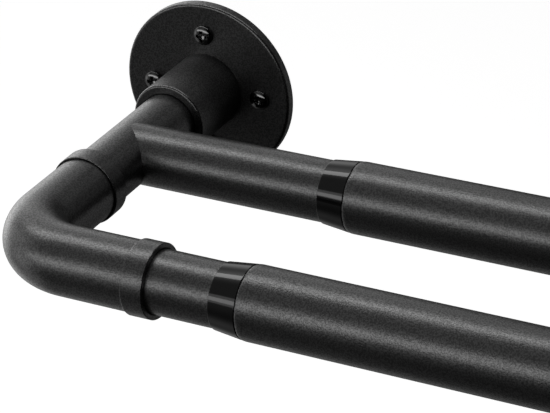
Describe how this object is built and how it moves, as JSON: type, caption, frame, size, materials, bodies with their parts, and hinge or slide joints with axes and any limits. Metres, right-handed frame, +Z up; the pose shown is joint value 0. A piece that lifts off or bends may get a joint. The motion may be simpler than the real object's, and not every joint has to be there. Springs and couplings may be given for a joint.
{
  "type": "double curtain pole",
  "caption": "Telescoping double curtain pole: a front and a back tube that wrap round to the wall at both ends, on round screwed plates with sockets.",
  "frame": {"origin": "centre of the left wall plate's back face, on the wall", "axes": "+X along the poles towards the right-hand end, +Y into the wall, +Z up"},
  "size_m": [0.7998, 0.1634, 0.0686],
  "materials": {
    "pole_coat": "fine-textured satin black powder coat",
    "plate_coat": "fine-textured matt black powder coat",
    "screw_black": "glossy black",
    "ring_plastic": "glossy black moulded plastic",
    "plug_plastic": "plain black moulded plastic"
  },
  "bodies": {
    "left_end": {"left_wall_plate": "plate_coat", "left_wall_screws": "screw_black", "left_set_screw": "screw_black", "left_arm": "pole_coat", "left_elbow": "pole_coat", "left_front_inner_tube": "pole_coat", "left_back_inner_tube": "pole_coat", "left_front_plug": "plug_plastic", "left_back_plug": "plug_plastic"},
    "front_tube": {"front_outer_tube": "pole_coat", "left_front_ring": "ring_plastic", "right_front_ring": "ring_plastic"},
    "back_tube": {"back_outer_tube": "pole_coat", "left_back_ring": "ring_plastic", "right_back_ring": "ring_plastic"},
    "right_end": {"right_wall_plate": "plate_coat", "right_wall_screws": "screw_black", "right_set_screw": "screw_black", "right_arm": "pole_coat", "right_elbow": "pole_coat", "right_front_inner_tube": "pole_coat", "right_back_inner_tube": "pole_coat", "right_front_plug": "plug_plastic", "right_back_plug": "plug_plastic"}
  },
  "joints": [
    {"name": "front_tube_slide", "type": "slide", "parent": "left_end", "child": "front_tube", "axis": [1, 0, 0], "range_m": [-0.0225, 0.2285]},
    {"name": "right_end_slide", "type": "slide", "parent": "front_tube", "child": "right_end", "axis": [1, 0, 0], "range_m": [-0.0225, 0.2285]},
    {"name": "back_tube_slide", "type": "slide", "parent": "left_end", "child": "back_tube", "axis": [1, 0, 0], "range_m": [-0.0225, 0.2285]}
  ],
  "couplings": [
    {"joint": "back_tube_slide", "follows": "front_tube_slide", "ratio": 1}
  ]
}
